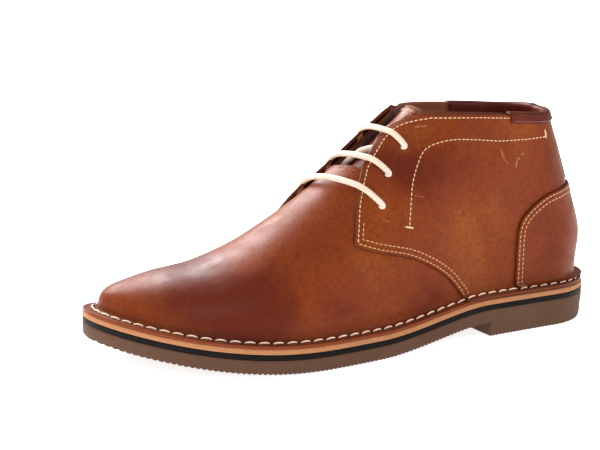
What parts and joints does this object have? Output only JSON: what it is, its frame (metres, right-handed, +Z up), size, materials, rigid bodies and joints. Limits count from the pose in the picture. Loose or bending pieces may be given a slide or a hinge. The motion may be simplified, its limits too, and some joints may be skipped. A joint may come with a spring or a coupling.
{
  "type": "chukka boot",
  "caption": "Left chukka ankle boot: leather upper with heel counter, backstay, folded collar edge, tongue and laced facings, stitched down to a low layered rubber sole.",
  "frame": {"origin": "on the floor, under the middle of the boot's bounding box", "axes": "+Z up from the floor, +Y towards the heel, +X towards the outer side of the foot"},
  "size_m": [0.1086, 0.304, 0.1276],
  "materials": {
    "outsole": "matt moulded",
    "rand": "matt",
    "midsole": "raw cut edge",
    "upper": "burnished satin",
    "heel_counter": "burnished satin",
    "backstay": "burnished satin",
    "collar_binding": "dark satin",
    "tongue": "satin",
    "insole": "matt",
    "lace": "waxed cord"
  },
  "bodies": {
    "root": {"outsole": "outsole", "rand": "rand", "midsole": "midsole", "upper": "upper", "heel_counter": "heel_counter", "backstay": "backstay", "collar_binding": "collar_binding", "tongue": "tongue", "insole": "insole", "lace": "lace"}
  },
  "joints": []
}
